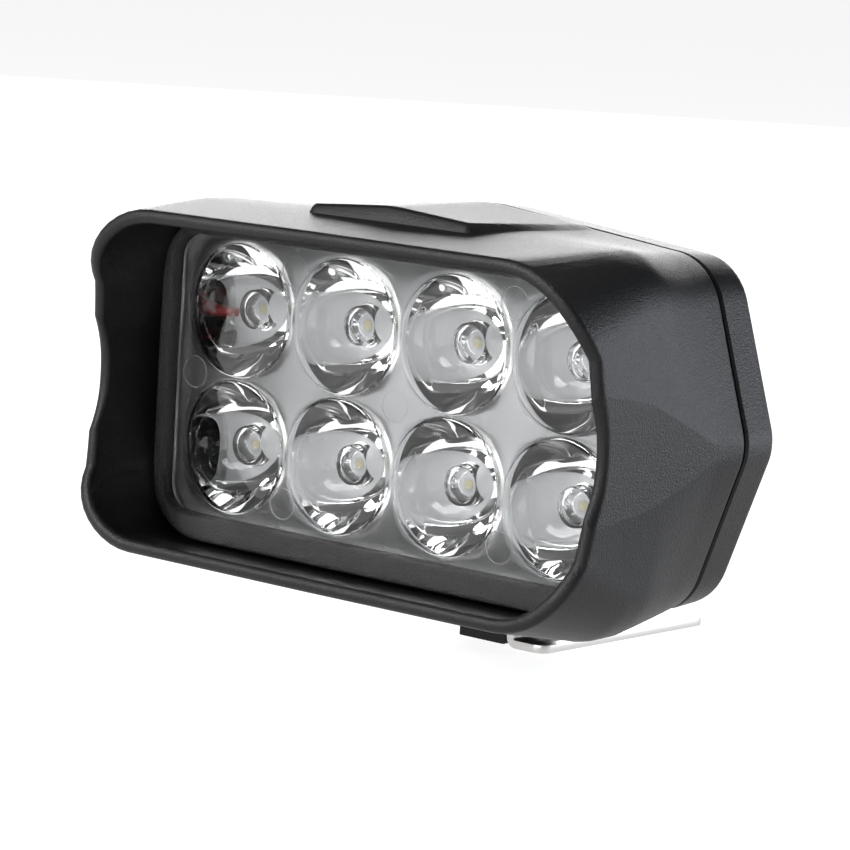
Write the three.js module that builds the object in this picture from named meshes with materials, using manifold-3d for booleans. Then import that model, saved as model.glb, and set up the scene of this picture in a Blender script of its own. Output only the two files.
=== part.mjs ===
// Eight-lens LED fog light on a stainless tilt bracket. Millimetres, +Z up, lenses facing -Y.
// The origin is the centre of the bracket's mounting hole, on the underside of its foot.
import * as THREE from 'three';
import { ConvexGeometry } from 'three/addons/geometries/ConvexGeometry.js';
import { mergeVertices } from 'three/addons/utils/BufferGeometryUtils.js';
import Module from 'manifold-3d';

// ---- Driving dimensions. The lamp's own zero is the middle of the lens plate's front face. ----
const GAP = 0.3;                      // clearance between pieces that touch
const LENS_BEHIND_HOLE = -54;         // lens face to mounting hole, along Y
const LENS_ABOVE_FOOT = 36.5;         // lens centre above the foot's underside

const CUP = {
  pitchX: 20.3, pitchZ: 20.16, radius: 10, depth: 10.6, backRadius: 3.6, wellRadius: 3, wellTop: 6.4,
};
const PLATE = { halfX: 42.5, halfZ: 21.5, corner: 5, thickness: 2 };
const WINDOW = { halfX: 41.2, halfZ: 20.5, corner: 5 };
const FRAME = {
  halfX: 43.9, top: 23.8, bottom: -24.6, corner: 9.5, front: -2.5, back: 2.9, sightX: 41.7, sightZ: 20.6,
};

const LIP = { y: -18.5, halfX: 46.7, top: 25.1, bottom: -24.5, corner: 11.5, wall: 1.6 };
const HOOD = { y: -2, backY: 2.8, wall: 1.5 };
const FLANGE = { front: 3.2, back: 4.8 };
const SEAM = { y: 18.8, gap: 0.3, wall: 2.2, bevel: 0.6 };
const REAR = { rimY: 26, backY: 36, wall: 2.2, rimInset: 0.2 };
const SEAM_CORNERS = [[0, 28.7, 30], [39.9, 24.4, 9], [48.1, -0.8, 8], [39.5, -25.2, 9], [0, -28.5, 30]];
const HOOD_CORNERS = [[0, 26.4, 40], [43.8, 26, 9], [46.9, 7, 10], [46.9, -8, 10], [43.8, -27.3, 9],
  [0, -27.4, 40]];
const SEAT_CORNERS = [[0, 26.8, 40], [43.8, 26, 9], [47, 4.6, 8], [47, -6, 8], [43.8, -27.3, 9],
  [0, -27.6, 40]];
const APEX = { y: 10, x: 47.35, top: 0.8, bottom: -3 };
const BACK_CORNERS = [[0, 25, 30], [31, 21.5, 6], [38, -0.8, 7], [30, -21.5, 6], [0, -23.4, 30]];
const SCOOP = [[27, -18.4], [18, -17.4], [10, -14.8], [2.5, -11.8], [-5, -12.4], [-12, -14.9], [-18, -16.7],
  [-27, -17.6]];                      // visor edge seen from the side, as [z, y]

const PIVOT = { y: 28, z: -30, screw: 1.95, hole: 2.25, boss: 6.9, bossX: [-12.4, 8.2], headPocket: 4.7 };
const LUG_LEFT = { x0: -4.6, x1: 4.3, radius: 6.2, squareFront: 23.6 };
const LUG_RIGHT = { x0: 6.1, x1: 10.1, radius: 4.8 };
const EAR = { x0: 4.6, x1: 5.8, radius: 4.4, front: 23.6, foot: 38.5, slot: 4.9 };
const STRAP = { halfX: 11.3, front: 23.6, back: 65, thickness: 1.2, corner: 3, hole: 5.25, slitEnd: 41 };

const CASE_SCREW = { x: 20.3, z: 18.9, shank: 1.4, pilot: 1.7, head: 2.6, boss: 2.4, start: 9.5 };
const LED_BOARD = { halfX: 36.5, halfZ: 15.8, corner: 3, front: 11.6, thickness: 1.6 };
const SPREADER = {
  halfX: 38, halfZ: 16, front: 13.5, thickness: 2.5, finBack: 22, fin: 1.6, pitch: 7.5, fins: 9,
};
const DRIVER = { halfX: 23, halfZ: 12, front: 24.8, thickness: 1.6 };
const GLAND = { x: 0, z: -8, hole: 4.3, bore: 2.1, tail: 42 };

// ---- Materials ----
const paint = (color, roughness, metalness = 0) => new THREE.MeshStandardMaterial(
  { color, roughness, metalness });
const housingBlack = paint(0x2b2b2d, 0.55);
const frameBlack = paint(0x242322, 0.7);
const clearAcrylic = new THREE.MeshStandardMaterial(
  { color: 0xdfe4e8, roughness: 0.08, metalness: 0, transparent: true, opacity: 0.5 });
const silicone = paint(0x6e6e6c, 0.8);
const boardWhite = paint(0xe9e9e4, 0.5);
const ledYellow = paint(0xf0d774, 0.35);
const aluminium = paint(0xa9adb1, 0.4, 1);
const boardGreen = paint(0x1d5a38, 0.5);
const copper = paint(0x9c5a2d, 0.4, 1);
const capacitorSleeve = paint(0x20242c, 0.4);
const chipBlack = paint(0x17171a, 0.6);
const redWire = paint(0xa81f1c, 0.5);
const blackWire = paint(0x141414, 0.5);
const zincSteel = paint(0xb5b8bb, 0.35, 1);
const stainless = paint(0xd2d3d4, 0.25, 1);
const blackRubber = paint(0x171717, 0.85);

// ---- Solids: joins and cuts ----
const wasm = await Module();
wasm.setup();

function solid(geometry) {
  const bare = geometry.index ? geometry.toNonIndexed() : geometry.clone();
  bare.deleteAttribute('normal');
  bare.deleteAttribute('uv');
  const merged = mergeVertices(bare, 1e-4);
  return new wasm.Manifold(new wasm.Mesh({
    numProp: 3,
    vertProperties: new Float32Array(merged.attributes.position.array),
    triVerts: new Uint32Array(merged.index.array),
  }));
}

function geometryOf(manifold) {
  const { vertProperties, triVerts } = manifold.getMesh();
  const geometry = new THREE.BufferGeometry();
  geometry.setAttribute('position', new THREE.BufferAttribute(new Float32Array(vertProperties), 3));
  geometry.setIndex(new THREE.BufferAttribute(new Uint32Array(triVerts), 1));
  return geometry;
}

const join = (...pieces) => pieces.reduce((whole, piece) => whole.add(piece));

// ---- Outlines, as [x, z] points in order round the piece ----

// Each corner is [x, z, radius]; the corner is rounded by an arc tangent to both its sides.
function rounded(corners, steps = 7) {
  return corners.flatMap(([x, z, radius], i) => {
    const before = corners[(i + corners.length - 1) % corners.length];
    const after = corners[(i + 1) % corners.length];
    const corner = new THREE.Vector2(x, z);
    const toBefore = new THREE.Vector2(before[0] - x, before[1] - z).normalize();
    const toAfter = new THREE.Vector2(after[0] - x, after[1] - z).normalize();
    const half = Math.acos(THREE.MathUtils.clamp(toBefore.dot(toAfter), -1, 1)) / 2;
    const middle = toBefore.clone().add(toAfter).normalize();
    const centre = corner.clone().addScaledVector(middle, radius / Math.sin(half));
    const start = corner.clone().addScaledVector(toBefore, radius / Math.tan(half)).sub(centre);
    const end = corner.clone().addScaledVector(toAfter, radius / Math.tan(half)).sub(centre);
    const sweep = Math.atan2(start.cross(end), start.dot(end));
    return Array.from({ length: steps }, (_, k) => {
      const point = start.clone().rotateAround(new THREE.Vector2(), sweep * k / (steps - 1)).add(centre);
      return [point.x, point.y];
    });
  });
}

const box2 = (halfX, top, bottom, radius, steps) => rounded(
  [[halfX, top, radius], [halfX, bottom, radius], [-halfX, bottom, radius], [-halfX, top, radius]], steps);

// A half outline given from the top centre down the right side becomes the whole, rounded one.
function mirrored(half) {
  const left = half.slice(1, -1).reverse().map(([x, z, radius]) => [-x, z, radius]);
  return rounded([...half, ...left]);
}

// Moves every point of an outline inwards, square to the outline there.
function inset(outline, distance) {
  const count = outline.length;
  return outline.map(([x, z], i) => {
    const [bx, bz] = outline[(i + count - 1) % count];
    const [ax, az] = outline[(i + 1) % count];
    const along = new THREE.Vector2(ax - bx, az - bz).normalize();
    return [x + along.y * distance, z - along.x * distance];
  });
}

const shapeOf = (outline) => new THREE.Shape(outline.map(([x, z]) => new THREE.Vector2(x, z)));

// ---- Basic bodies ----

// A flat piece with the outline in X and Z, from y0 to y1.
function slab(outline, y0, y1) {
  const geometry = new THREE.ExtrudeGeometry(shapeOf(outline), { depth: y1 - y0, bevelEnabled: false });
  return solid(geometry.rotateX(Math.PI / 2).translate(0, y1, 0));
}

// A piece with the outline in Y and Z, from x0 to x1.
function slice(outline, x0, x1) {
  const geometry = new THREE.ExtrudeGeometry(shapeOf(outline), { depth: x1 - x0, bevelEnabled: false });
  geometry.applyMatrix4(new THREE.Matrix4().set(0, 0, 1, x0, 1, 0, 0, 0, 0, 1, 0, 0, 0, 0, 0, 1));
  return solid(geometry);
}

const block = (x0, x1, y0, y1, z0, z1) => solid(new THREE.BoxGeometry(x1 - x0, y1 - y0, z1 - z0)
  .translate((x0 + x1) / 2, (y0 + y1) / 2, (z0 + z1) / 2));

const rodY = (x, z, radius, y0, y1, sides = 20) => solid(
  new THREE.CylinderGeometry(radius, radius, y1 - y0, sides).translate(x, (y0 + y1) / 2, z));

const rodX = (y, z, radius, x0, x1, sides = 24) => solid(
  new THREE.CylinderGeometry(radius, radius, x1 - x0, sides)
    .rotateZ(Math.PI / 2).translate((x0 + x1) / 2, y, z));

// The tight skin over outlines, each placed at its own y.
const skin = (...rings) => solid(new ConvexGeometry(
  rings.flatMap(([outline, y]) => outline.map(([x, z]) => new THREE.Vector3(x, y, z)))));

// A turned piece about an axis along Y; its profile is [radius, y], closed on itself or on the axis.
const turned = (profile, x, z, sides = 24) => solid(new THREE.LatheGeometry(
  profile.map(([radius, y]) => new THREE.Vector2(radius, y)), sides).translate(x, 0, z));

const both = [-1, 1];

// ---- Casing outlines ----
const seamOutline = mirrored(SEAM_CORNERS);
const hoodOutline = mirrored(HOOD_CORNERS);
const seatOutline = mirrored(SEAT_CORNERS);
const backOutline = mirrored(BACK_CORNERS);
const rimOutline = inset(seamOutline, REAR.rimInset);

// ---- Front shell: visor, lens seat and the front half of the body ----
function frontShell() {
  const lip = box2(LIP.halfX, LIP.top, LIP.bottom, LIP.corner, 9);
  const apex = both.flatMap((sx) => [[sx * APEX.x, APEX.top], [sx * APEX.x, APEX.bottom]]);
  const form = skin([lip, LIP.y], [hoodOutline, HOOD.y], [seatOutline, HOOD.backY], [apex, APEX.y],
    [seamOutline, SEAM.y - SEAM.bevel], [inset(seamOutline, 0.5), SEAM.y]);

  // Raised roof panel: a low wedge that runs from a step over the lenses back to the seam.
  const panel = skin(
    [[[-15, 25.4], [15, 25.4]], -5.2],
    [[[-14.2, 28], [0, 28.9], [14.2, 28]], -3.2],
    [[[-18, 26.9], [0, 28.7], [18, 26.9], [-26, 25.9], [26, 25.9], [-20, 24], [20, 24]], 17.5]);

  // The visor edge is scooped back at both sides.
  const edge = new THREE.SplineCurve(SCOOP.map(([z, y]) => new THREE.Vector2(y, z))).getPoints(28);
  const ahead = slice([...edge.map(({ x, y }) => [x, y]), [-30, -27], [-30, 27]].reverse(), -60, 60);

  const mouth = skin([inset(lip, LIP.wall), LIP.y - 2], [inset(hoodOutline, HOOD.wall), HOOD.y],
    [inset(seatOutline, HOOD.wall), FLANGE.front]);
  const inside = skin([inset(seamOutline, 3.6), FLANGE.back], [inset(seamOutline, SEAM.wall), SEAM.y + 1]);
  const window = slab(box2(WINDOW.halfX, WINDOW.halfZ, -WINDOW.halfZ, WINDOW.corner, 4),
    FLANGE.front - 1, FLANGE.back + 1);
  const sealSeat = slab(inset(seamOutline, 0.95), SEAM.y - 0.5, SEAM.y + 1);

  const posts = [];
  for (const sx of both) {
    for (const sz of both) {
      const x = sx * CASE_SCREW.x;
      const z = sz * CASE_SCREW.z;
      posts.push(rodY(x, z, CASE_SCREW.boss, FLANGE.front, SEAM.y - 0.8));
      const rib = [z, z + sz * 8].sort((a, b) => a - b);
      posts.push(block(x - 0.8, x + 0.8, FLANGE.front, SEAM.y - 0.8, ...rib));
    }
    const stop = [sx * 41.4, sx * 45.5].sort((a, b) => a - b);
    posts.push(block(...stop, FLANGE.front + 0.5, SPREADER.front - GAP, -3.4, 3.4));
  }
  let shell = form.add(panel).subtract(ahead).subtract(mouth).subtract(inside).subtract(window);
  shell = shell.subtract(sealSeat);
  shell = shell.add(join(...posts).intersect(form));
  for (const sx of both) {
    for (const sz of both) {
      shell = shell.subtract(
        rodY(sx * CASE_SCREW.x, sz * CASE_SCREW.z, CASE_SCREW.pilot, CASE_SCREW.start - GAP, SEAM.y + 1, 16));
    }
  }
  return shell;
}

// ---- Rear shell: rim, ribbed back and the two pivot lugs ----
// A lug is round about the pivot below; a square front leaves its lower front corner on.
function lug({ x0, x1, radius, squareFront }) {
  const first = squareFront ? -Math.PI / 2 : -Math.PI;
  const arc = Array.from({ length: 19 }, (_, k) => first * (1 - k / 18))
    .map((angle) => [PIVOT.y + radius * Math.cos(angle), PIVOT.z + radius * Math.sin(angle)]);
  const corner = squareFront
    ? [[squareFront, -24], [squareFront, PIVOT.z - radius]]
    : [[PIVOT.y - radius, -24]];
  return slice([...corner, ...arc, [PIVOT.y + radius, -22]], x0, x1);
}

function rearShell() {
  const start = SEAM.y + SEAM.gap;
  const form = skin([inset(seamOutline, 0.5), start], [seamOutline, start + SEAM.bevel],
    [rimOutline, REAR.rimY - 0.8], [inset(rimOutline, 0.7), REAR.rimY], [backOutline, REAR.backY]);
  const inside = skin([inset(seamOutline, SEAM.wall), start - 1],
    [inset(rimOutline, REAR.wall + 0.3), REAR.rimY],
    [inset(backOutline, 1.6), REAR.backY - REAR.wall]);
  const sealSeat = slab(inset(seamOutline, 0.95), start - 1, start + 0.5);

  const inner = [rodX(PIVOT.y, PIVOT.z, PIVOT.boss, ...PIVOT.bossX)];
  for (const sx of both) {
    for (const sz of both) {
      inner.push(rodY(sx * CASE_SCREW.x, sz * CASE_SCREW.z, CASE_SCREW.boss + 1, start + 0.2, REAR.backY - 1));
      inner.push(rodY(sx * 20, sz * 8, 2, DRIVER.front + DRIVER.thickness + GAP, REAR.backY - 1, 16));
    }
    inner.push(rodY(sx * 40.3, 0, 1.8, SPREADER.front + SPREADER.thickness + GAP, REAR.backY, 16));
  }
  const ribs = [-15, -9, 9, 15].map((x) => block(x - 0.8, x + 0.8, REAR.backY - 1, REAR.backY + 1.5, -15, 15));

  // The posts that press on the heat spreader reach into the front half, so they aren't trimmed to the rear.
  const room = form.add(skin([inset(seamOutline, 4), 15], [inset(seamOutline, 4), start + 1]));
  let shell = form.add(lug(LUG_LEFT)).add(lug(LUG_RIGHT)).subtract(inside).subtract(sealSeat);
  shell = shell.add(join(...inner).intersect(room)).add(join(...ribs));

  for (const sx of both) {
    for (const sz of both) {
      const x = sx * CASE_SCREW.x;
      const z = sz * CASE_SCREW.z;
      shell = shell.subtract(rodY(x, z, CASE_SCREW.pilot, start - 1, REAR.backY + 3, 16));
      shell = shell.subtract(rodY(x, z, CASE_SCREW.head + GAP, REAR.backY - 2.4, REAR.backY + 3));
    }
  }
  const nutPocket = rodX(PIVOT.y, PIVOT.z, 4.3, LUG_RIGHT.x1 - 3.2, LUG_RIGHT.x1 + 1, 6);
  return shell
    .subtract(rodX(PIVOT.y, PIVOT.z, EAR.slot, LUG_LEFT.x1, LUG_RIGHT.x0, 32))
    .subtract(rodX(PIVOT.y, PIVOT.z, PIVOT.hole, LUG_LEFT.x0 - 1, LUG_RIGHT.x1 + 1))
    .subtract(rodX(PIVOT.y, PIVOT.z, PIVOT.headPocket, PIVOT.bossX[0] + 1.6, LUG_LEFT.x0))
    .subtract(nutPocket)
    .subtract(rodY(GLAND.x, GLAND.z, GLAND.hole, REAR.backY - 4, REAR.backY + 3, 24));
}

// ---- Lens, its frame and its gasket ----
function lensFrame() {
  const bar = slab(box2(FRAME.halfX, FRAME.top, FRAME.bottom, FRAME.corner, 9), FRAME.front, FRAME.back);
  const sight = slab(box2(FRAME.sightX, FRAME.sightZ, -FRAME.sightZ, 4, 6), FRAME.front - 1, FRAME.back + 1);
  const rebate = slab(box2(PLATE.halfX + GAP, PLATE.halfZ + GAP, -PLATE.halfZ - GAP, PLATE.corner, 6),
    -GAP, FRAME.back + 1);
  return bar.subtract(sight).subtract(rebate);
}

const cupCentres = [1, -1].flatMap((sz) => [-1.5, -0.5, 0.5, 1.5].map(
  (column) => [column * CUP.pitchX, sz * CUP.pitchZ / 2]));

function lensArray() {
  let lens = slab(box2(PLATE.halfX, PLATE.halfZ, -PLATE.halfZ, PLATE.corner, 6), 0, PLATE.thickness);
  const wall = Array.from({ length: 6 }, (_, k) => k / 5)
    .map((t) => [CUP.radius - (CUP.radius - CUP.backRadius) * t ** 1.7, 1 + (CUP.depth - 1) * t]);
  for (const [x, z] of cupCentres) {
    lens = lens.add(turned([[0, 1], ...wall, [0, CUP.depth]], x, z, 28));
  }
  for (const [x, z] of cupCentres) {
    lens = lens.subtract(rodY(x, z, CUP.wellRadius, CUP.wellTop, CUP.depth + 1, 16));
  }
  return lens;
}

function lensGasket() {
  const back = FLANGE.front - GAP;
  const ring = slab(box2(PLATE.halfX - 0.2, PLATE.halfZ - 0.2, -PLATE.halfZ + 0.2, PLATE.corner, 6),
    PLATE.thickness + GAP, back);
  return ring.subtract(slab(box2(WINDOW.halfX, WINDOW.halfZ, -WINDOW.halfZ, WINDOW.corner, 6), 0, back + 1));
}

// ---- LEDs, their board and the heat spreader ----
function ledBoard() {
  const { halfX, halfZ, corner, front, thickness } = LED_BOARD;
  let board = slab(box2(halfX, halfZ, -halfZ, corner, 5), front, front + thickness);
  for (const sx of both) {
    board = board.subtract(rodY(sx * CUP.pitchX, 0, 1.7, front - 1, front + thickness + 1, 16));
  }
  return board;
}

function led(x, z) {
  const back = LED_BOARD.front - GAP;
  const arc = Array.from({ length: 6 }, (_, k) => Math.PI / 2 * k / 5)
    .map((angle) => [1.25 * Math.sin(angle), back - 0.7 - 1.25 * Math.cos(angle)]);
  const dome = turned([...arc, [1.25, back - 0.4], [0, back - 0.4]], x, z, 14);
  return block(x - 1.75, x + 1.75, back - 0.8, back, z - 1.75, z + 1.75).add(dome);
}

function heatSpreader() {
  const { halfX, halfZ, front, thickness, finBack, fin, pitch, fins } = SPREADER;
  let spreader = slab(box2(halfX, halfZ, -halfZ, 3, 5), front, front + thickness);
  spreader = spreader.add(block(-42, 42, front, front + thickness, -3, 3));
  for (let i = 0; i < fins; i += 1) {
    const x = (i - (fins - 1) / 2) * pitch;
    spreader = spreader.add(block(x - fin / 2, x + fin / 2, front + 1, finBack, -halfZ + 1.5, halfZ - 1.5));
  }
  for (const sx of both) {
    spreader = spreader.subtract(rodY(sx * CUP.pitchX, 0, 1.6, front - 1, front + 4.5, 16));
  }
  return spreader;
}

// ---- Driver electronics ----
const driverBoard = () => slab(box2(DRIVER.halfX, DRIVER.halfZ, -DRIVER.halfZ, 2, 4),
  DRIVER.front, DRIVER.front + DRIVER.thickness);
const onDriver = DRIVER.front + DRIVER.thickness + GAP;
const driverChoke = () => turned([[2.4, onDriver], [5.2, onDriver], [5.6, onDriver + 0.6], [5.6, onDriver + 4.4],
  [5.2, onDriver + 5], [2.4, onDriver + 5], [2.4, onDriver]], -12.5, 0, 28);
const driverCapacitor = () => rodY(12.5, 3.5, 3.1, onDriver, onDriver + 6.2, 24);
const driverChip = () => block(10, 15, onDriver, onDriver + 1.4, -8, -4);

function lead(z) {
  const route = new THREE.CatmullRomCurve3([[-20, 23.6], [-30, 23.4], [-37.6, 21.4], [-39.9, 17.5], [-39.8, 13],
    [-38.6, 10.9], [-35.8, 10.5]].map(([x, y]) => new THREE.Vector3(x, y, z)));
  const section = new THREE.Shape().absarc(0, 0, 0.6, 0, 2 * Math.PI);
  return new THREE.ExtrudeGeometry(section, { steps: 24, curveSegments: 8, extrudePath: route });
}

// ---- Seal, gland and fasteners ----
function shellSeal() {
  const y0 = SEAM.y - 0.2;
  const y1 = SEAM.y + SEAM.gap + 0.2;
  return slab(inset(seamOutline, 1.1), y0, y1).subtract(slab(inset(seamOutline, 1.95), y0 - 1, y1 + 1));
}

function cableGland() {
  const back = REAR.backY;
  return turned([[GLAND.bore, back - 4], [5.4, back - 4], [5.6, back - 2.5], [GLAND.hole - GAP, back - 2.5],
    [GLAND.hole - GAP, back + GAP], [6, back + GAP], [6, back + 1.6], [4.6, back + 2], [3.6, GLAND.tail],
    [GLAND.bore, GLAND.tail], [GLAND.bore, back - 4]], GLAND.x, GLAND.z, 28);
}

// A pan-head screw along Y whose head is at its +Y end, with a crossed recess.
function screwAlongY(x, z, shank, head, tip, seat, headHeight) {
  const body = turned([[0, tip], [shank * 0.6, tip], [shank, tip + 1], [shank, seat], [head, seat],
    [head, seat + headHeight * 0.5], [head * 0.7, seat + headHeight], [0, seat + headHeight]], x, z, 20);
  const top = seat + headHeight;
  const slot = block(x - head * 0.55, x + head * 0.55, top - 0.8, top + 1, z - 0.3, z + 0.3)
    .add(block(x - 0.3, x + 0.3, top - 0.8, top + 1, z - head * 0.55, z + head * 0.55));
  return body.subtract(slot);
}

// A pan-head screw along Y whose head is at its -Y end.
const boardScrew = (x) => turned([[0, 9.3], [1.7, 9.3], [2.5, 10.1], [2.5, LED_BOARD.front - GAP],
  [1.25, LED_BOARD.front - GAP], [1.25, 16.5], [0.8, 17.2], [0, 17.2]], x, 0, 20);

function pivotScrew() {
  const seat = LUG_LEFT.x0 - 1.4;
  const head = rodX(PIVOT.y, PIVOT.z, 3.5, seat - 4, seat).subtract(
    rodX(PIVOT.y, PIVOT.z, 1.7, seat - 5, seat - 1.8, 6));
  return head.add(rodX(PIVOT.y, PIVOT.z, PIVOT.screw, seat - 1, LUG_RIGHT.x1));
}

const pivotWasher = () => rodX(PIVOT.y, PIVOT.z, 4.3, LUG_LEFT.x0 - 1.1, LUG_LEFT.x0 - GAP)
  .subtract(rodX(PIVOT.y, PIVOT.z, PIVOT.hole, LUG_LEFT.x0 - 3, LUG_LEFT.x0 + 1));

const pivotNut = () => rodX(PIVOT.y, PIVOT.z, 3.95, LUG_RIGHT.x1 - 2.9, LUG_RIGHT.x1 - 0.1, 6)
  .subtract(rodX(PIVOT.y, PIVOT.z, PIVOT.hole, LUG_RIGHT.x1 - 5, LUG_RIGHT.x1 + 1));

// ---- Bracket: one stainless strip, slit at the front, with one side of the slit bent up as the ear ----
function bracketSheet() {
  const z0 = -LENS_ABOVE_FOOT;
  const z1 = z0 + STRAP.thickness;
  const { halfX, front, back, corner, slitEnd } = STRAP;
  // The foot's plan, in [x, y]; it is drawn flat and lifted to its height.
  const plan = rounded([[EAR.x1, front, 0.1], [halfX, front, 2], [halfX, back, corner], [-halfX, back, corner],
    [-halfX, slitEnd, 2], [EAR.x1, slitEnd, 0.4]].reverse(), 6);
  const foot = solid(new THREE.ExtrudeGeometry(shapeOf(plan), { depth: STRAP.thickness, bevelEnabled: false })
    .translate(0, 0, z0));

  // The ear's side view, in [y, z], and its end view, which carries the bend.
  const arc = Array.from({ length: 19 }, (_, k) => Math.PI - Math.PI * k / 18)
    .map((angle) => [PIVOT.y + EAR.radius * Math.cos(angle), PIVOT.z + EAR.radius * Math.sin(angle)]);
  const side = slice([[EAR.front, z0], ...arc, [EAR.foot, z0]].reverse(), EAR.x0 - 1, EAR.x1 + 2);
  const bend = rounded([[EAR.x0, z0, 1.6], [EAR.x1 + 1, z0, 0.01], [EAR.x1 + 1, z1, 0.01], [EAR.x1, z1, 0.4],
    [EAR.x1, -20, 0.01], [EAR.x0, -20, 0.01]], 6);
  const ear = slab(bend, EAR.front, EAR.foot).intersect(side);
  return foot.add(ear)
    .subtract(rodX(PIVOT.y, PIVOT.z, PIVOT.hole, EAR.x0 - 2, EAR.x1 + 2))
    .subtract(solid(new THREE.CylinderGeometry(STRAP.hole, STRAP.hole, 6, 36).rotateX(Math.PI / 2)
      .translate(0, -LENS_BEHIND_HOLE, z0)));
}

// ---- Assembly ----
const lamp = new THREE.Group();
lamp.position.set(0, LENS_BEHIND_HOLE, LENS_ABOVE_FOOT);

function add(name, shape, material) {
  const geometry = shape.isBufferGeometry ? shape : geometryOf(shape);
  const mesh = new THREE.Mesh(geometry, material);
  mesh.name = name;
  lamp.add(mesh);
}

add('front_shell', frontShell(), housingBlack);
add('lens_frame', lensFrame(), frameBlack);
add('lens_array', lensArray(), clearAcrylic);
add('lens_gasket', lensGasket(), silicone);
add('led_board', ledBoard(), boardWhite);
cupCentres.forEach(([x, z], i) => add(`led_${i + 1}`, led(x, z), ledYellow));
add('heat_spreader', heatSpreader(), aluminium);
both.forEach((sx, i) => add(`board_screw_${i + 1}`, boardScrew(sx * CUP.pitchX), zincSteel));
add('driver_board', driverBoard(), boardGreen);
add('driver_choke', driverChoke(), copper);
add('driver_capacitor', driverCapacitor(), capacitorSleeve);
add('driver_chip', driverChip(), chipBlack);
add('lead_positive', lead(9), redWire);
add('lead_negative', lead(6.2), blackWire);
add('shell_seal', shellSeal(), silicone);
add('rear_shell', rearShell(), housingBlack);
add('cable_gland', cableGland(), blackRubber);
[[1, 1], [1, -1], [-1, 1], [-1, -1]].forEach(([sx, sz], i) => add(`case_screw_${i + 1}`,
  screwAlongY(sx * CASE_SCREW.x, sz * CASE_SCREW.z, CASE_SCREW.shank, CASE_SCREW.head, CASE_SCREW.start,
    REAR.backY - 2.4 + GAP, 1.9), zincSteel));
add('pivot_screw', pivotScrew(), zincSteel);
add('pivot_washer', pivotWasher(), zincSteel);
add('pivot_nut', pivotNut(), zincSteel);
add('bracket', bracketSheet(), stainless);

const fogLight = new THREE.Group();
fogLight.add(lamp);

export default fogLight;
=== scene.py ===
"""Eight-lens LED fog light on its stainless tilt bracket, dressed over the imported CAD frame.

Everything is in metres in the CAD's frame: lenses face -Y, +Z is up, and the bracket's foot stands on z = 0.
"""
import math

import bmesh
import bpy
import numpy as np
from mathutils import Matrix, Vector


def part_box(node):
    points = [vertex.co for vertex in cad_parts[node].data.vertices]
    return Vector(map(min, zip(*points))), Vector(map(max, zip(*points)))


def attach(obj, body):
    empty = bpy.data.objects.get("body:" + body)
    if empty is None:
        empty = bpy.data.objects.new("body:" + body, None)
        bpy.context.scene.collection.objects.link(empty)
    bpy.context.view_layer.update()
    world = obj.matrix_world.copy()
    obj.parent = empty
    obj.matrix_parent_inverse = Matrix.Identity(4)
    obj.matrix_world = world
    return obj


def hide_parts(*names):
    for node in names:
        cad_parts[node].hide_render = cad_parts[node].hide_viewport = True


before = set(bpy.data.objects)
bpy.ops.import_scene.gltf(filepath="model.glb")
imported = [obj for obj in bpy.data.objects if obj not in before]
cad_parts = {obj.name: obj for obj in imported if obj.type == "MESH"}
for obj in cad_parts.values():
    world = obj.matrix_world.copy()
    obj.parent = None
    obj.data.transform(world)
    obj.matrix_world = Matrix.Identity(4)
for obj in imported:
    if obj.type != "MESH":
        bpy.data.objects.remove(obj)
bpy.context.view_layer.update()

# ---------------------------------------------------------------------------------------------------------
# Studio: a plain pale floor under soft boxes. One hangs overhead, one stands at the front left, two tall
# strips face the lenses, and two low boxes behind give the roof and the right side their sheen.
# ---------------------------------------------------------------------------------------------------------
MM = 0.001
plate_low, plate_high = (np.array(corner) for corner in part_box("lens_array"))
lens_zero = np.array([(plate_low[0] + plate_high[0]) / 2, plate_low[1], (plate_low[2] + plate_high[2]) / 2])

camera_azimuth = math.radians(39.59)
camera_elevation = math.radians(7.99)
camera_roll = math.radians(3.52)
camera_distance = 0.5172
camera_side = -0.00456          # the lens centre sits this far left of the view's axis
camera_lift = 0.00258           # and this far above it

back = Vector((math.sin(camera_azimuth) * math.cos(camera_elevation),
               -math.cos(camera_azimuth) * math.cos(camera_elevation), math.sin(camera_elevation)))
level = Vector((math.cos(camera_azimuth), math.sin(camera_azimuth), 0))
upright = back.cross(level)
right = math.cos(camera_roll) * level + math.sin(camera_roll) * upright
up = -math.sin(camera_roll) * level + math.cos(camera_roll) * upright
eye = Vector(lens_zero) + back * camera_distance - right * camera_side - up * camera_lift

camera_data = bpy.data.cameras.new("camera")
camera_data.lens = 155.3
camera_data.sensor_width = 36
camera_data.clip_start = 0.01
camera = bpy.data.objects.new("camera", camera_data)
camera.matrix_world = Matrix.LocRotScale(eye, Matrix((right, up, back)).transposed().to_quaternion(), None)
bpy.context.scene.collection.objects.link(camera)
bpy.context.scene.camera = camera
bpy.context.scene.view_settings.view_transform = "Standard"

cycles = bpy.context.scene.cycles
cycles.max_bounces = 24
cycles.transmission_bounces = 20
cycles.glossy_bounces = 8
cycles.sample_clamp_indirect = 6.0

world = bpy.data.worlds.new("studio")
bpy.context.scene.world = world
world.use_nodes = True
world.node_tree.nodes["Background"].inputs["Color"].default_value = (1, 1, 1, 1)
world.node_tree.nodes["Background"].inputs["Strength"].default_value = 0.05


def softbox(name, place, aim, width, height, watts, colour=(1, 1, 1)):
    """A rectangular area light at place, facing aim."""
    data = bpy.data.lights.new(name, "AREA")
    data.shape = "RECTANGLE"
    data.size = width
    data.size_y = height
    data.energy = watts
    data.color = colour
    lamp = bpy.data.objects.new(name, data)
    lamp.location = place
    lamp.rotation_euler = (Vector(aim) - Vector(place)).to_track_quat("-Z", "Y").to_euler()
    bpy.context.scene.collection.objects.link(lamp)
    return lamp


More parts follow.
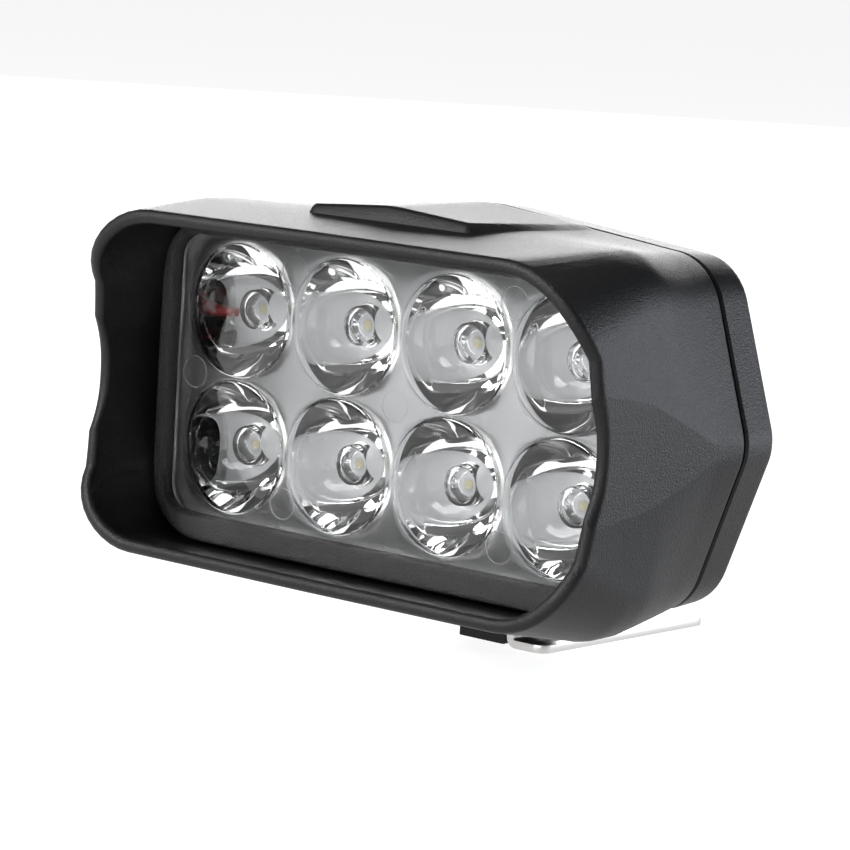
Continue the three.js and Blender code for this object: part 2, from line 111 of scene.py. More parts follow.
lamp_middle = (0, lens_zero[1], lens_zero[2])
softbox("overhead", (0.05, 0.12, 0.60), lamp_middle, 0.45, 0.35, 0.5)
softbox("front_left", (-0.55, -0.95, 0.55), lamp_middle, 0.50, 0.50, 23.0)
softbox("strip_left", (-0.12, -0.95, 0.06), lamp_middle, 0.035, 0.34, 2.2)
softbox("strip_right", (0.34, -0.90, 0.06), lamp_middle, 0.035, 0.34, 2.2)
softbox("far_right", (0.66, 0.75, 0.16), lamp_middle, 0.36, 0.20, 8.0, (0.88, 0.93, 1.0))
softbox("far_left", (-0.95, 1.10, 0.30), lamp_middle, 1.30, 0.50, 17.0)

sweep_data = bpy.data.meshes.new("sweep")
sweep_data.from_pydata([(-6, -6, 0), (6, -6, 0), (6, 6, 0), (-6, 6, 0)], [], [(0, 1, 2, 3)])
sweep = bpy.data.objects.new("sweep", sweep_data)
sweep.location = (0, 0, -0.0002)
bpy.context.scene.collection.objects.link(sweep)
sweep_paint = bpy.data.materials.new("sweep_paint")
sweep_paint.use_nodes = True
sweep_paint.node_tree.nodes["Principled BSDF"].inputs["Base Color"].default_value = (0.3, 0.3, 0.3, 1)
sweep_paint.node_tree.nodes["Principled BSDF"].inputs["Roughness"].default_value = 0.9
sweep_paint.node_tree.nodes["Principled BSDF"].inputs["Emission Color"].default_value = (1, 1, 1, 1)
sweep_paint.node_tree.nodes["Principled BSDF"].inputs["Emission Strength"].default_value = 0.90
sweep_data.materials.append(sweep_paint)

# ---------------------------------------------------------------------------------------------------------
# Front shell: visor and front half of the casing, one moulding in fine-grained black ABS. Its side has a
# three-cornered facet, and the visor's edge is scooped back at both sides and rounded over.
# ---------------------------------------------------------------------------------------------------------
ARC = 11                 # columns on each rounded corner
EDGE = 13                # columns on each straight side between corners


def eased(y, stations, values, reach=1.2):
    """Straight lines between the stations, softened by averaging the value over a short reach either side."""
    offsets = np.linspace(-reach, reach, 7)
    return np.mean([np.interp(y + step, stations, values) for step in offsets], axis=0)


def ring(y, corners):
    """Points of a rounded polygon for a grid of y values, (rows, columns) -> (rows, columns, 3).

    corners is a list of functions, each giving x, z and radius at y, clockwise seen from the front. Corner k
    takes ARC columns on the arc tangent to both its sides, then EDGE columns on the straight side after it.
    """
    count = len(corners)
    span = ARC + EDGE
    points = np.empty(y.shape + (3,))
    points[..., 1] = y
    for k in range(count):
        part = slice(k * span, (k + 1) * span)
        y_part = y[:, part]
        near = [corners[(k + step) % count](y_part) for step in (-1, 0, 1, 2)]
        around = [np.stack(np.broadcast_arrays(*corner), -1) for corner in near]

        def arc_frame(before, corner, after):
            """Centre, start and end of the arc that rounds off a corner, given the corners beside it."""
            to_before = before[..., :2] - corner[..., :2]
            to_after = after[..., :2] - corner[..., :2]
            to_before /= np.linalg.norm(to_before, axis=-1, keepdims=True)
            to_after /= np.linalg.norm(to_after, axis=-1, keepdims=True)
            half = np.arccos(np.clip((to_before * to_after).sum(-1), -1, 1)) / 2
            middle = to_before + to_after
            middle /= np.linalg.norm(middle, axis=-1, keepdims=True)
            radius = corner[..., 2]
            centre = corner[..., :2] + middle * (radius / np.sin(half))[..., None]
            start = corner[..., :2] + to_before * (radius / np.tan(half))[..., None]
            end = corner[..., :2] + to_after * (radius / np.tan(half))[..., None]
            return centre, start, end

        centre, start, end = arc_frame(around[0], around[1], around[2])
        _, next_start, _ = arc_frame(around[1], around[2], around[3])
        t = np.linspace(0, 1, ARC)
        a, b = start[:, :ARC] - centre[:, :ARC], end[:, :ARC] - centre[:, :ARC]
        sweep_angle = np.arctan2(a[..., 0] * b[..., 1] - a[..., 1] * b[..., 0], (a * b).sum(-1)) * t
        cos, sin = np.cos(sweep_angle), np.sin(sweep_angle)
        arc = np.stack([a[..., 0] * cos - a[..., 1] * sin, a[..., 0] * sin + a[..., 1] * cos], -1)
        points[:, part][:, :ARC, [0, 2]] = centre[:, :ARC] + arc
        s = (np.arange(1, EDGE + 1) / (EDGE + 1))[:, None]
        points[:, part][:, ARC:, [0, 2]] = end[:, ARC:] * (1 - s) + next_start[:, ARC:] * s
    return points


def mirrored(half):
    """Corners from the top centre down the right side to the bottom centre, completed up the left side."""
    def flip(corner):
        return lambda y: (lambda x, z, r: (-x, z, r))(*corner(y))
    return half + [flip(corner) for corner in half[-2:0:-1]]


def track(stations, xs, zs, radii, reach=1.2):
    """A corner whose x, z and radius run through the given values at the stations along y."""
    return lambda y: tuple(eased(y, stations, values, reach) for values in (xs, zs, radii))


def fixed(x, z, radius):
    """A corner that is the same at every y."""
    return lambda y: (x + 0 * y, z + 0 * y, radius + 0 * y)


def grid_mesh(name, points, wrap_rows=False, wrap_columns=True, flip=False):
    """A mesh object from a (rows, columns, 3) grid of points in millimetres about the lens zero."""
    rows, columns = points.shape[:2]
    place = points.reshape(-1, 3) * MM + lens_zero
    r = np.arange(rows if wrap_rows else rows - 1)
    c = np.arange(columns if wrap_columns else columns - 1)
    r, c = np.meshgrid(r, c, indexing="ij")
    r_next, c_next = (r + 1) % rows, (c + 1) % columns
    quads = np.stack([r * columns + c, r * columns + c_next,
                      r_next * columns + c_next, r_next * columns + c], -1)
    quads = quads.reshape(-1, 4)
    if flip:
        quads = quads[:, ::-1]
    mesh = bpy.data.meshes.new(name)
    mesh.from_pydata(place.tolist(), [], quads.tolist())
    mesh.polygons.foreach_set("use_smooth", np.ones(len(quads), dtype=bool))
    mesh.update()
    piece = bpy.data.objects.new(name, mesh)
    bpy.context.scene.collection.objects.link(piece)
    return piece


def joined(name, parts):
    """All the parts as one mesh: doubled vertices merged, open rims bridged, and faces turned outwards."""
    mesh = bpy.data.meshes.new(name)
    work = bmesh.new()
    for part in parts:
        work.from_mesh(part.data)
        bpy.data.objects.remove(part)
    bmesh.ops.remove_doubles(work, verts=work.verts, dist=2e-6)
    border = [edge for edge in work.edges if edge.is_boundary]
    if border:
        bmesh.ops.bridge_loops(work, edges=border)
    bmesh.ops.recalc_face_normals(work, faces=work.faces)
    for face in work.faces:
        face.smooth = True
    work.to_mesh(mesh)
    work.free()
    piece = bpy.data.objects.new(name, mesh)
    bpy.context.scene.collection.objects.link(piece)
    return piece


LIP_Y, HOOD_Y, SEAT_Y, VALLEY_Y, APEX_Y, SEAM_Y = -18.5, -2.0, 2.8, 9.5, 12.0, 18.8
along = [LIP_Y, HOOD_Y, SEAT_Y, VALLEY_Y, APEX_Y, SEAM_Y]
casing_front = mirrored([
    track(along, [0] * 6, [25.1, 26.4, 26.8, 27.6, 27.9, 28.7], [60, 60, 50, 40, 35, 30]),
    track(along, [46.3, 43.9, 43.6, 42.05, 41.4, 39.9], [25.0, 26.0, 26.0, 25.15, 24.9, 24.4],
          [14.5, 9.5, 9, 9, 9, 9]),
    track(along, [46.75, 46.95, 47.1, 47.35, 47.45, 47.67], [9.5, 6.6, 4.5, 1.5, 0.6, 0.5],
          [2, 0.8, 0.8, 1.0, 7.2, 7.5]),
    track(along, [46.75, 46.95, 47.1, 47.35, 47.45, 47.67], [-10, -7.7, -6, -3.4, -2.2, -2.1],
          [2, 0.8, 0.8, 1.0, 7.2, 7.5]),
    track(along, [46.1, 43.8, 43.3, 41.5, 41.0, 39.5], [-24.4, -27.2, -27.2, -26.4, -26.1, -25.2],
          [13.2, 9.5, 9.5, 9, 9, 9]),
    track(along, [0] * 6, [-24.5, -27.4, -27.6, -28.1, -28.23, -28.5], [60, 60, 50, 40, 35, 30])])
COLUMNS = len(casing_front) * (ARC + EDGE)
SCOOP_TOP, SCOOP_BOTTOM, SCOOP_DEPTH, SCOOP_REACH, SCOOP_SQUARE = -17.4, -16.9, 6.1, 15.0, 2.6
LIP_WALL = 2.0

# Seen from the side the visor's edge is straight, leaning back a little below, with a broad round scoop.
lip_z = ring(np.full((1, COLUMNS), LIP_Y + 0.5), casing_front)[0, :, 2]
lip_y = np.interp(lip_z, [-25, 25], [SCOOP_BOTTOM, SCOOP_TOP])
lip_y += SCOOP_DEPTH * np.exp(-np.abs(lip_z / SCOOP_REACH) ** SCOOP_SQUARE)


def rows_between(y_start, y_end, count, power=1.0):
    """A (count, columns) grid of y from y_start to y_end, either of which may vary along the columns."""
    t = (np.linspace(0, 1, count) ** power)[:, None] * np.ones((1, COLUMNS))
    return y_start * (1 - t) + y_end * t


def rounded_over(outer, inner, steps, swell=0.8):
    """Rows that turn from an outer edge to an inner one in half an ellipse, which stands forward by swell
    half-walls."""
    s = np.pi * (np.arange(1, steps) / steps)[:, None, None]
    middle, half = (outer + inner) / 2, (outer - inner) / 2
    forward = np.array([0, -1, 0]) * np.linalg.norm(half, axis=-1, keepdims=True) * swell
    return middle + half * np.cos(s) + forward * np.sin(s)


def moved_in(corners, side, radius_less):
    """The same outline moved inwards by side, with its corner radii made smaller."""
    def shift(corner):
        def inner(y):
            x, z, r = corner(y)
            return (x - side * np.tanh(x / 4), z - side * np.tanh(z / 9), np.maximum(r - radius_less, 0.6))
        return inner
    return [shift(corner) for corner in corners]


hood_inner = moved_in(casing_front, LIP_WALL, 1.5)
window = mirrored([fixed(0, 20.55, 60), fixed(41.2, 20.5, 5), fixed(41.3, 4, 20), fixed(41.3, -4, 20),
                   fixed(41.2, -20.5, 5), fixed(0, -20.55, 60)])
flat = np.ones((1, COLUMNS))
outer = ring(rows_between(lip_y, SEAM_Y - 0.5, 76), casing_front)
seam_edge = ring((SEAM_Y - 0.1) * flat, moved_in(casing_front, 0.25, 0.2))
seam_face = ring(SEAM_Y * flat, moved_in(casing_front, 0.6, 0.5))
inner_back = ring(rows_between(SEAM_Y, 4.9, 6), moved_in(casing_front, 2.6, 2.4))
inner_front = ring(rows_between(3.2, lip_y, 44), hood_inner)
shell_rows = np.concatenate([
    outer, seam_edge, seam_face, inner_back,
    ring(4.8 * flat, window), ring(3.2 * flat, window), inner_front,
    rounded_over(outer[0], inner_front[-1], 10)[::-1]])
front_shell = joined("front_shell_skin", [grid_mesh("shell", shell_rows, wrap_rows=True)])
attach(front_shell, "lamp")
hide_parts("front_shell")


def grained_black(name, tone, roughness, grain_per_metre, depth, gloss_spread=0.12, specular=0.18):
    """Moulded black plastic: a fine noise grain with weaker cells under it, and a slow drift of tone."""
    paint = bpy.data.materials.new(name)
    paint.use_nodes = True
    nodes, links = paint.node_tree.nodes, paint.node_tree.links
    shader = nodes["Principled BSDF"]
    shader.inputs["Specular IOR Level"].default_value = specular
    place = nodes.new("ShaderNodeTexCoord")
    cells = nodes.new("ShaderNodeTexVoronoi")
    cells.feature = "SMOOTH_F1"
    cells.inputs["Scale"].default_value = grain_per_metre
    cells.inputs["Smoothness"].default_value = 0.6
    fine = nodes.new("ShaderNodeTexNoise")
    fine.inputs["Scale"].default_value = grain_per_metre * 1.6
    fine.inputs["Detail"].default_value = 3
    fine.inputs["Roughness"].default_value = 0.6
    slow = nodes.new("ShaderNodeTexNoise")
    slow.inputs["Scale"].default_value = 60
    slow.inputs["Detail"].default_value = 4
    height = nodes.new("ShaderNodeMath")
    height.operation = "MULTIPLY_ADD"
    height.inputs[1].default_value = 0.35
    bump = nodes.new("ShaderNodeBump")
    bump.inputs["Strength"].default_value = 1.0
    bump.inputs["Distance"].default_value = depth
    tint = nodes.new("ShaderNodeMapRange")
    tint.inputs["To Min"].default_value = 0.75
    tint.inputs["To Max"].default_value = 1.3
    colour = nodes.new("ShaderNodeMix")
    colour.data_type = "RGBA"
    colour.blend_type = "MULTIPLY"
    colour.inputs["Factor"].default_value = 1
    colour.inputs["A"].default_value = (*tone, 1)
    gloss = nodes.new("ShaderNodeMapRange")
    gloss.inputs["To Min"].default_value = roughness - gloss_spread / 2
    gloss.inputs["To Max"].default_value = roughness + gloss_spread / 2
    for texture in (cells, fine, slow):
        links.new(place.outputs["Object"], texture.inputs["Vector"])
    links.new(cells.outputs["Distance"], height.inputs[0])
    links.new(fine.outputs["Fac"], height.inputs[2])
    links.new(height.outputs[0], bump.inputs["Height"])
    links.new(bump.outputs["Normal"], shader.inputs["Normal"])
    links.new(slow.outputs["Fac"], tint.inputs["Value"])
    links.new(tint.outputs["Result"], colour.inputs["B"])
    links.new(colour.outputs["Result"], shader.inputs["Base Color"])
    links.new(fine.outputs["Fac"], gloss.inputs["Value"])
    links.new(gloss.outputs["Result"], shader.inputs["Roughness"])
    return paint


housing_black = grained_black("housing_black", (0.007, 0.007, 0.0078), 0.42, 2600, 0.00009)
front_shell.data.materials.append(housing_black)

# ---------------------------------------------------------------------------------------------------------
# Roof panel: the raised wedge moulded on top of the front shell. It steps up over the lenses and dies out
# towards the seam, and it is part of the same moulding.
# ---------------------------------------------------------------------------------------------------------
PANEL_ROWS, PANEL_COLUMNS = 40, 61
v, u = np.meshgrid(np.linspace(0, 1, PANEL_ROWS), np.linspace(-1, 1, PANEL_COLUMNS), indexing="ij")
panel_y = -3.9 + 22.2 * v
panel_half = np.interp(panel_y, [-3.9, 16.5, 18.3], [15.0, 26.0, 27.0])
panel_x = u * panel_half
# The crest falls away a little to each side, and the flanks drop to the roof over the last of the width.
crest = np.interp(panel_y, [-3.9, -3.2, 18.3], [26.1, 28.55, 28.75])
flat_half = np.interp(panel_y, [-3.9, -3.2, 18.3], [14.9, 14.2, 17.5])
gable = np.interp(panel_y, [-3.9, 18.3], [0.075, 0.098])
top_z = crest - gable * np.sqrt(panel_x ** 2 + 1.5)
edge_z = np.interp(panel_y, [-3.9, 16.5, 18.3], [25.3, 25.75, 25.7])
flank = np.clip((np.abs(panel_x) - flat_half) / np.maximum(panel_half - flat_half, 0.05), 0, 1)
panel_z = top_z * (1 - flank) + edge_z * flank
panel_top = np.stack([panel_x, panel_y, panel_z], -1)
# The underside lies inside the roof's wall, and each end closes on a line half way down.
under_rise = np.interp(panel_y, [-3.9, 18.3], [0.0, 0.1])
panel_under = np.stack([panel_x, panel_y, edge_z - 0.9 + under_rise * (panel_half - np.abs(panel_x))], -1)
panel_rows = np.concatenate([panel_top, panel_under[:, ::-1]], axis=1)
end_line = (panel_top + panel_under) / 2
end_rows = np.concatenate([end_line, end_line[:, ::-1]], axis=1)
panel_rows = np.concatenate([end_rows[:1], panel_rows, end_rows[-1:]])
roof_panel = joined("roof_panel", [grid_mesh("panel", panel_rows)])
roof_panel.data.materials.append(housing_black)
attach(roof_panel, "lamp")

# ---------------------------------------------------------------------------------------------------------
# Lens frame: a coarse-grained black plastic ring that traps the lens plate against the front shell's seat.
# It is dropped in from the front and welded.
# ---------------------------------------------------------------------------------------------------------
frame_outer = ring(flat * 0, mirrored([fixed(0, 23.85, 60), fixed(43.9, 23.8, 9.5), fixed(44, 4, 20),
                                       fixed(44, -4, 20), fixed(43.9, -24.6, 9.5), fixed(0, -24.65, 60)]))[0]
frame_sight = ring(flat * 0, mirrored([fixed(0, 20.65, 60), fixed(41.7, 20.6, 4), fixed(41.8, 4, 20),
                                       fixed(41.8, -4, 20), fixed(41.7, -20.6, 4), fixed(0, -20.65, 60)]))[0]
frame_rebate = ring(flat * 0, mirrored([fixed(0, 21.85, 60), fixed(42.8, 21.8, 5), fixed(42.9, 4, 20),
                                        fixed(42.9, -4, 20), fixed(42.8, -21.8, 5), fixed(0, -21.85, 60)]))[0]


def between(outer_ring, inner_ring, share, y):
    """The ring a given share of the way from the outer one to the inner one, at that y."""
    row = outer_ring * (1 - share) + inner_ring * share
    row = row.copy()
    row[:, 1] = y
    return row


frame_section = [(0, 2.9), (0, -1.6), (0.04, -2.1), (0.13, -2.42), (0.25, -2.5), (0.5, -2.5), (0.75, -2.48),
                 (0.86, -2.4), (0.93, -2.15), (0.96, -1.7), (1.0, -0.9), (1.0, -0.3)]
frame_rows = [between(frame_outer, frame_sight, share, y) for share, y in frame_section]
frame_rows += [between(frame_rebate, frame_rebate, 0, -0.3), between(frame_rebate, frame_rebate, 0, 2.9)]
lens_frame = joined("lens_frame_ring", [grid_mesh("ring", np.stack(frame_rows), wrap_rows=True)])
lens_frame.data.materials.append(grained_black("frame_black", (0.016, 0.014, 0.014), 0.30, 3300, 0.00028,
                                               gloss_spread=0.2, specular=0.6))
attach(lens_frame, "lamp")
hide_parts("lens_frame")

# ---------------------------------------------------------------------------------------------------------
# Lens plate: one clear acrylic moulding, with a total-reflection collimator behind each of eight polished
# cups. The web between the cups is frosted by the mould and carries the ring marks of the ejector pins.
# ---------------------------------------------------------------------------------------------------------
PITCH_X, PITCH_Z = 20.3, 20.16
PLATE_X, PLATE_Z, PLATE_CORNER, PLATE_BACK = 42.5, 21.5, 5.0, 2.0
CUP_RADIUS, CUP_BACK, CUP_DEPTH, WELL_RADIUS, WELL_TOP = 9.98, 3.6, 10.6, 2.9, 6.2
SIDE = 22                # columns along each side of a cup's cell


WEB_FRONT = 0.45         # the web lies this far behind the cups' front faces


def cup_profile():
    """Front and back of one cup as (radius, y), from the middle out: a flat face with a small rolled rim in
    front; behind, a domed well for the LED and a parabola wall that reflects all the light inside it."""
    front_r = np.concatenate([np.linspace(0, CUP_RADIUS - 0.5, 8),
                              CUP_RADIUS - np.array([0.3, 0.15, 0.05, 0])])
    front_y = np.concatenate([np.zeros(8), np.array([0.04, 0.12, 0.25, WEB_FRONT])])
    dome_r = np.linspace(0, WELL_RADIUS, 9)
    dome_y = WELL_TOP - 1.3 * (1 - (dome_r / WELL_RADIUS) ** 2)
    wall_t = np.linspace(0, 1, 22)
    wall_r = CUP_BACK + (CUP_RADIUS - CUP_BACK) * wall_t
    wall_y = CUP_DEPTH - (CUP_DEPTH - PLATE_BACK) * wall_t ** 1.55
    back_r = np.concatenate([dome_r, [WELL_RADIUS + 0.15], wall_r])
    back_y = np.concatenate([dome_y, [CUP_DEPTH], wall_y])
    return np.stack([front_r, front_y], -1), np.stack([back_r, back_y], -1)


def cell(cx, cz, low_x, high_x, low_z, high_z):
    """One cup and its piece of web: rings about the cup's middle that end on the cell's four sides."""
    s = np.arange(SIDE) / SIDE
    side_x = np.concatenate([np.full(SIDE, high_x), high_x + (low_x - high_x) * s, np.full(SIDE, low_x),
                             low_x + (high_x - low_x) * s])
    side_z = np.concatenate([low_z + (high_z - low_z) * s, np.full(SIDE, high_z),
                             high_z + (low_z - high_z) * s, np.full(SIDE, low_z)])
    over_x = side_x - np.clip(side_x, -PLATE_X + PLATE_CORNER, PLATE_X - PLATE_CORNER)
    over_z = side_z - np.clip(side_z, -PLATE_Z + PLATE_CORNER, PLATE_Z - PLATE_CORNER)
    reach = np.hypot(over_x, over_z)
    pull = np.where((reach > PLATE_CORNER) & (np.abs(over_x) > 0) & (np.abs(over_z) > 0),
                    PLATE_CORNER / np.maximum(reach, 1e-6), 1)
    side_x, side_z = side_x - over_x * (1 - pull), side_z - over_z * (1 - pull)
    angle = -np.pi / 4 + 2 * np.pi * np.arange(4 * SIDE) / (4 * SIDE)
    surfaces = []
    for profile, web_y in zip(cup_profile(), (WEB_FRONT, PLATE_BACK)):
        x = cx + profile[:, :1] * np.cos(angle)
        z = cz + profile[:, :1] * np.sin(angle)
        y = profile[:, 1:] * np.ones_like(angle)
        share = np.array([0.35, 0.7, 1.0])[:, None]
        web_x = x[-1] * (1 - share) + side_x * share
        web_z = z[-1] * (1 - share) + side_z * share
        web = np.stack([web_x, np.full_like(web_x, web_y), web_z], -1)
        surfaces.append(np.concatenate([np.stack([x, y, z], -1), web]))
    return surfaces


lens_parts = []
for row, (low_z, high_z) in enumerate([(-PLATE_Z, 0), (0, PLATE_Z)]):
    for column in range(4):
        low_x = -PLATE_X if column == 0 else (column - 2) * PITCH_X
        high_x = PLATE_X if column == 3 else (column - 1) * PITCH_X
        front, rear = cell((column - 1.5) * PITCH_X, (row - 0.5) * PITCH_Z, low_x, high_x, low_z, high_z)
        lens_parts.append(grid_mesh("lens_front", front, flip=True))
        lens_parts.append(grid_mesh("lens_rear", rear))


def acrylic(name, roughness_low, roughness_high, grain_per_metre, depth):
    """Clear acrylic; the roughness runs between two values with a fine noise, which frosts it when high."""
    paint = bpy.data.materials.new(name)
    paint.use_nodes = True
    nodes, links = paint.node_tree.nodes, paint.node_tree.links
    shader = nodes["Principled BSDF"]
    shader.inputs["Base Color"].default_value = (0.98, 0.985, 0.99, 1)
    shader.inputs["Transmission Weight"].default_value = 1
    shader.inputs["IOR"].default_value = 1.49
    place = nodes.new("ShaderNodeTexCoord")
    noise = nodes.new("ShaderNodeTexNoise")
    noise.inputs["Scale"].default_value = grain_per_metre
    noise.inputs["Detail"].default_value = 3
    gloss = nodes.new("ShaderNodeMapRange")
    gloss.inputs["To Min"].default_value = roughness_low
    gloss.inputs["To Max"].default_value = roughness_high
    bump = nodes.new("ShaderNodeBump")
    bump.inputs["Distance"].default_value = depth
    links.new(place.outputs["Object"], noise.inputs["Vector"])
    links.new(noise.outputs["Fac"], gloss.inputs["Value"])
    links.new(gloss.outputs["Result"], shader.inputs["Roughness"])
    links.new(noise.outputs["Fac"], bump.inputs["Height"])
    links.new(bump.outputs["Normal"], shader.inputs["Normal"])
    return paint


lens_array = joined("lens_plate", lens_parts)
lens_array.data.materials.append(acrylic("acrylic_polished", 0.0, 0.02, 400, 0.000002))
lens_array.data.materials.append(acrylic("acrylic_frosted", 0.3, 0.5, 3000, 0.00004))
centres = np.empty(len(lens_array.data.polygons) * 3)
lens_array.data.polygons.foreach_get("center", centres)
local = (centres.reshape(-1, 3) - lens_zero) / MM
off_x = np.abs(np.abs(np.abs(local[:, 0]) - PITCH_X) - PITCH_X / 2)
off_z = np.abs(np.abs(local[:, 2]) - PITCH_Z / 2)
in_web = (np.hypot(off_x, off_z) > CUP_RADIUS - 0.02) & (local[:, 1] < PLATE_BACK + 0.01)
lens_array.data.polygons.foreach_set("material_index", in_web.astype(np.int32))
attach(lens_array, "lamp")
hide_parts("lens_array")

# ---------------------------------------------------------------------------------------------------------
# Ejector marks: seven faint raised circles that the mould's ejector pins leave on the frosted web, between
# the cups and along the plate's middle line.
# ---------------------------------------------------------------------------------------------------------
def turned(name, profile, centre, axis="Y", columns=48):
    """A turned solid: (radius, place along the axis) points, closed on themselves or from axis to axis, swept
    round the axis through centre."""
    radius, along_axis = np.array(profile, float).T
    angle = 2 * np.pi * np.arange(columns) / columns
    u, v = radius[:, None] * np.cos(angle), radius[:, None] * np.sin(angle)
    w = along_axis[:, None] * np.ones(columns)
    order = {"X": (w, u, v), "Y": (u, w, v)}[axis]
    on_itself = bool(radius[0] > 0)
    return grid_mesh(name, np.stack(order, -1) + np.array(centre, float), wrap_rows=on_itself)


MARK_RADIUS, MARK_WIDTH = 2.3, 0.11
mark_turn = 2 * np.pi * np.arange(8) / 8
mark_profile = np.stack([MARK_RADIUS + MARK_WIDTH * np.cos(mark_turn),
                         WEB_FRONT + MARK_WIDTH * np.sin(mark_turn)], -1)
mark_places = [(x * PITCH_X, z) for x in (-1, 1) for z in (17.0, -17.0)] + [(-38.9, 0), (0, 0), (38.9, 0)]
marks = joined("ejector_marks", [turned("mark", mark_profile, (x, 0, z), columns=40) for x, z in mark_places])
marks.data.materials.append(lens_array.data.materials[1])
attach(marks, "lamp")


# ---------------------------------------------------------------------------------------------------------
# Lens gasket: a grey silicone ring, die-cut, squeezed between the back of the lens plate and the shell's
# window flange.
# ---------------------------------------------------------------------------------------------------------
def mottled(name, tone, shade, roughness, spread, per_metre, depth, metallic=0.0, stretch=(1, 1, 1)):
    """A plain finish: one noise moves the colour from tone to shade, sways the roughness by spread and raises
    the surface by depth. A stretch under 1 draws the noise out along that axis, as brushing does."""
    paint = bpy.data.materials.new(name)
    paint.use_nodes = True
    nodes, links = paint.node_tree.nodes, paint.node_tree.links
    shader = nodes["Principled BSDF"]
    shader.inputs["Metallic"].default_value = metallic
    place = nodes.new("ShaderNodeTexCoord")
    drawn_out = nodes.new("ShaderNodeMapping")
    drawn_out.inputs["Scale"].default_value = stretch
    noise = nodes.new("ShaderNodeTexNoise")
    noise.inputs["Scale"].default_value = per_metre
    noise.inputs["Detail"].default_value = 4
    colour = nodes.new("ShaderNodeMix")
    colour.data_type = "RGBA"
    colour.inputs["A"].default_value = (*tone, 1)
    colour.inputs["B"].default_value = (*shade, 1)
    gloss = nodes.new("ShaderNodeMapRange")
    gloss.inputs["To Min"].default_value = roughness - spread
    gloss.inputs["To Max"].default_value = roughness + spread
    bump = nodes.new("ShaderNodeBump")
    bump.inputs["Distance"].default_value = depth
    links.new(place.outputs["Object"], drawn_out.inputs["Vector"])
    links.new(drawn_out.outputs["Vector"], noise.inputs["Vector"])
    links.new(noise.outputs["Fac"], colour.inputs["Factor"])
    links.new(noise.outputs["Fac"], gloss.inputs["Value"])
    links.new(noise.outputs["Fac"], bump.inputs["Height"])
    links.new(colour.outputs["Result"], shader.inputs["Base Color"])
    links.new(gloss.outputs["Result"], shader.inputs["Roughness"])
    links.new(bump.outputs["Normal"], shader.inputs["Normal"])
    return paint


def finished(node, paint):
    """A CAD node that stays as it is, with this material on it."""
    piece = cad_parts[node]
    piece.data.materials.clear()
    piece.data.materials.append(paint)
    return piece


silicone = mottled("silicone", (0.16, 0.16, 0.155), (0.11, 0.11, 0.105), 0.62, 0.1, 900, 0.00002)
finished("lens_gasket", silicone)

# ---------------------------------------------------------------------------------------------------------
# LED board: an aluminium-core circuit board with a white solder mask. Two screws hold it flat on the heat
# spreader.
# ---------------------------------------------------------------------------------------------------------
finished("led_board", mottled("board_mask", (0.80, 0.81, 0.82), (0.66, 0.67, 0.68), 0.42, 0.08, 500, 0.00001))

# ---------------------------------------------------------------------------------------------------------
# LEDs: eight white ceramic packages with a cream phosphor patch under a clear silicone dome. Each is
# soldered to the board on the axis of its cup.
# ---------------------------------------------------------------------------------------------------------
ceramic = mottled("led_ceramic", (0.72, 0.72, 0.70), (0.60, 0.60, 0.58), 0.45, 0.05, 2000, 0.000005)
phosphor = mottled("led_phosphor", (0.84, 0.79, 0.55), (0.74, 0.68, 0.40), 0.55, 0.05, 6000, 0.00001)
dome_clear = acrylic("led_dome", 0.02, 0.06, 1500, 0.000001)


def round_square(half, corner, steps=6):
    """Points of a square with rounded corners, in two axes."""
    turn = np.linspace(0, np.pi / 2, steps)
    quarter = np.stack([half - corner + corner * np.cos(turn), half - corner + corner * np.sin(turn)], -1)
    turns = ((1, 0), (0, 1), (-1, 0), (0, -1))
    return np.concatenate([quarter @ np.array([[c, s], [-s, c]]) for c, s in turns])


def slab(name, outline, low, high, edge, axis="Y", centre=(0, 0, 0)):
    """A flat piece: an outline of (u, v) points, run from low to high along the axis, with each rim rounded
    over by a quarter circle of radius edge. The outline moves inwards square to itself as it turns over."""
    ahead, behind = np.roll(outline, -1, 0), np.roll(outline, 1, 0)
    run = (ahead - behind) / np.linalg.norm(ahead - behind, axis=1, keepdims=True)
    area = np.sum(outline[:, 0] * ahead[:, 1] - outline[:, 1] * ahead[:, 0])
    inward = np.stack([-run[:, 1], run[:, 0]], -1) * np.sign(area)
    turn = np.linspace(0, np.pi / 2, 4)
    moved = edge * np.concatenate([1 - np.sin(turn), 1 - np.sin(turn[::-1])])
    level = np.concatenate([low + edge * (1 - np.cos(turn)), high - edge * (1 - np.cos(turn[::-1]))])
    flat_rows = outline[None] + inward[None] * moved[:, None, None]
    heart = outline.mean(0)
    flat_rows = np.concatenate([heart + 0 * flat_rows[:1], flat_rows, heart + 0 * flat_rows[:1]])
    level = np.concatenate([level[:1], level, level[-1:]])[:, None] * np.ones(len(outline))
    u, v = flat_rows[..., 0], flat_rows[..., 1]
    order = {"X": (level, u, v), "Y": (u, level, v), "Z": (u, v, level)}[axis]
    return grid_mesh(name, np.stack(order, -1) + np.array(centre, float))


def crisp(piece, degrees=32):
    """Marks the edges sharper than that angle, so that only the gentler ones are shaded smooth."""
    piece.data.set_sharp_from_angle(angle=math.radians(degrees))
    return piece


